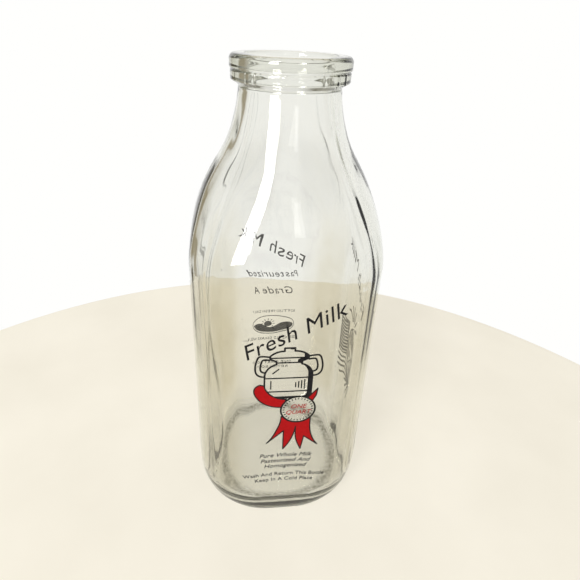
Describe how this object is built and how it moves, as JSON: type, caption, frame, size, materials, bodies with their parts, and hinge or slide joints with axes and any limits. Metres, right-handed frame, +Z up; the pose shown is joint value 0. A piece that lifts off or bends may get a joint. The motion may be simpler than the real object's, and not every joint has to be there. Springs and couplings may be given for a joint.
{
  "type": "glass milk bottle",
  "caption": "Square one-quart glass milk bottle, empty and open, with a beaded lip, round neck and fired enamel prints on its panels.",
  "frame": {"origin": "centre of the standing face, at the bottom of the bottle", "axes": "+Z up along the bottle's axis to the mouth, the front panel faces -Y, +X is to the right seen from the front"},
  "size_m": [0.0858, 0.086, 0.22],
  "materials": {
    "glass": "clear pressed and blown glass with a faint olive cast",
    "black_enamel": "fired black enamel, satin gloss",
    "red_enamel": "fired red enamel, satin gloss"
  },
  "bodies": {
    "root": {"back_grade": "black_enamel", "back_headline": "black_enamel", "back_measure": "black_enamel", "back_notice": "black_enamel", "back_oval_emblem": "black_enamel", "back_small_line": "black_enamel", "back_subheading": "black_enamel", "bottle": "glass", "front_badge_ring": "black_enamel", "front_badge_words": "red_enamel", "front_churn": "black_enamel", "front_headline": "black_enamel", "front_motto": "black_enamel", "front_notice": "black_enamel", "front_ribbon_outline": "black_enamel", "front_ribbon_red": "red_enamel", "right_farm_scene": "black_enamel", "right_headline": "black_enamel"}
  },
  "joints": []
}
